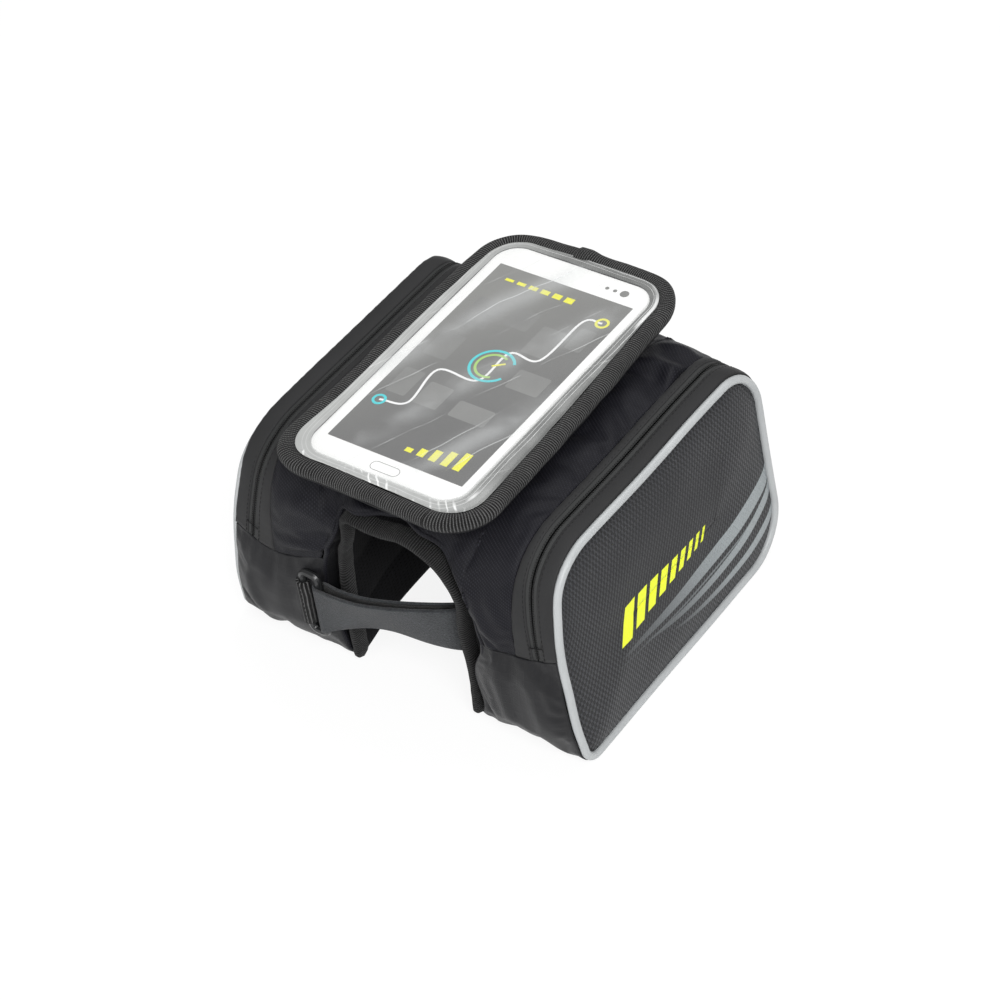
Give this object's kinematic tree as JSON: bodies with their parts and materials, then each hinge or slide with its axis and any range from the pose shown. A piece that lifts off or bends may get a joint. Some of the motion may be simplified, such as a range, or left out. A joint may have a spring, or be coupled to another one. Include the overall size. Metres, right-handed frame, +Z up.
{
  "type": "top tube phone bag",
  "caption": "Zipped double side bag that straddles a bicycle's top tube, with a padded tunnel, a rear strap and a clear-windowed phone pouch on top.",
  "frame": {"origin": "On the ground, midway across the bag and midway along it: the bottom centre of its bounding box.", "axes": "+Z up, +Y to the front of the bicycle (the phone's top end), +X to the rider's right."},
  "size_m": [0.185, 0.17, 0.1216],
  "materials": {
    "panel_fabric": "embossed laminated fabric",
    "coated_fabric": "smooth coated fabric",
    "ripstop": "plain black ripstop nylon",
    "dobby_fabric": "woven dobby nylon",
    "pad_fabric": "spacer mesh pad",
    "webbing": "ribbed binding tape",
    "strap_fabric": "soft grey loop-faced strap",
    "reflective": "light grey reflective piping",
    "zip_coil": "coil zip",
    "ring_plastic": "moulded plastic",
    "slider_metal": "black painted",
    "loop_fabric": "loop side of hook-and-loop",
    "hook_fabric": "hook side of hook-and-loop",
    "pouch_cloth": "coated cloth",
    "foam": "closed-cell foam",
    "card_print": "printed card",
    "clear_film": "clear flexible film"
  },
  "bodies": {
    "bag": {"right_outer_panel": "panel_fabric", "right_piping": "reflective", "right_zip_gusset_outer": "coated_fabric", "right_zip_gusset_inner": "coated_fabric", "right_zip_tape_outer": "zip_coil", "right_zip_tape_inner": "zip_coil", "right_lower_gusset": "ripstop", "right_inner_wall": "ripstop", "left_outer_panel": "panel_fabric", "left_piping": "reflective", "left_zip_gusset_outer": "coated_fabric", "left_zip_gusset_inner": "coated_fabric", "left_zip_tape_outer": "zip_coil", "left_zip_tape_inner": "zip_coil", "left_lower_gusset": "ripstop", "left_inner_wall": "ripstop", "saddle_cover": "dobby_fabric", "tunnel_pad": "pad_fabric", "tunnel_binding_rear": "webbing", "tunnel_binding_front": "webbing", "tube_strap": "strap_fabric", "strap_ring": "ring_plastic", "ring_tab": "webbing", "saddle_loop_patch": "loop_fabric", "pouch_hook_patch": "hook_fabric", "pouch_floor": "pouch_cloth", "pouch_pad": "foam", "display_blank": "foam", "display_card": "card_print", "pouch_window": "clear_film", "pouch_binding": "webbing"},
    "right_zip_slider": {"right_zip_slider": "slider_metal"},
    "right_zip_puller": {"right_zip_puller": "slider_metal"},
    "left_zip_slider": {"left_zip_slider": "slider_metal"},
    "left_zip_puller": {"left_zip_puller": "slider_metal"}
  },
  "joints": [
    {"name": "right_zip_slide", "type": "slide", "parent": "bag", "child": "right_zip_slider", "axis": [-0.114, 0.0365, 0.9928], "range_m": [0, 0.038]},
    {"name": "right_puller_hinge", "type": "hinge", "parent": "right_zip_slider", "child": "right_zip_puller", "pos_m": [0.0764, 0.07925, 0.03391], "axis": [0.9935, 0.0042, 0.1139], "range_deg": [0, 160]},
    {"name": "left_zip_slide", "type": "slide", "parent": "bag", "child": "left_zip_slider", "axis": [0.114, 0.0365, 0.9928], "range_m": [0, 0.038]},
    {"name": "left_puller_hinge", "type": "hinge", "parent": "left_zip_slider", "child": "left_zip_puller", "pos_m": [-0.0764, 0.07925, 0.03391], "axis": [0.9935, -0.0042, -0.1139], "range_deg": [0, 160]}
  ]
}
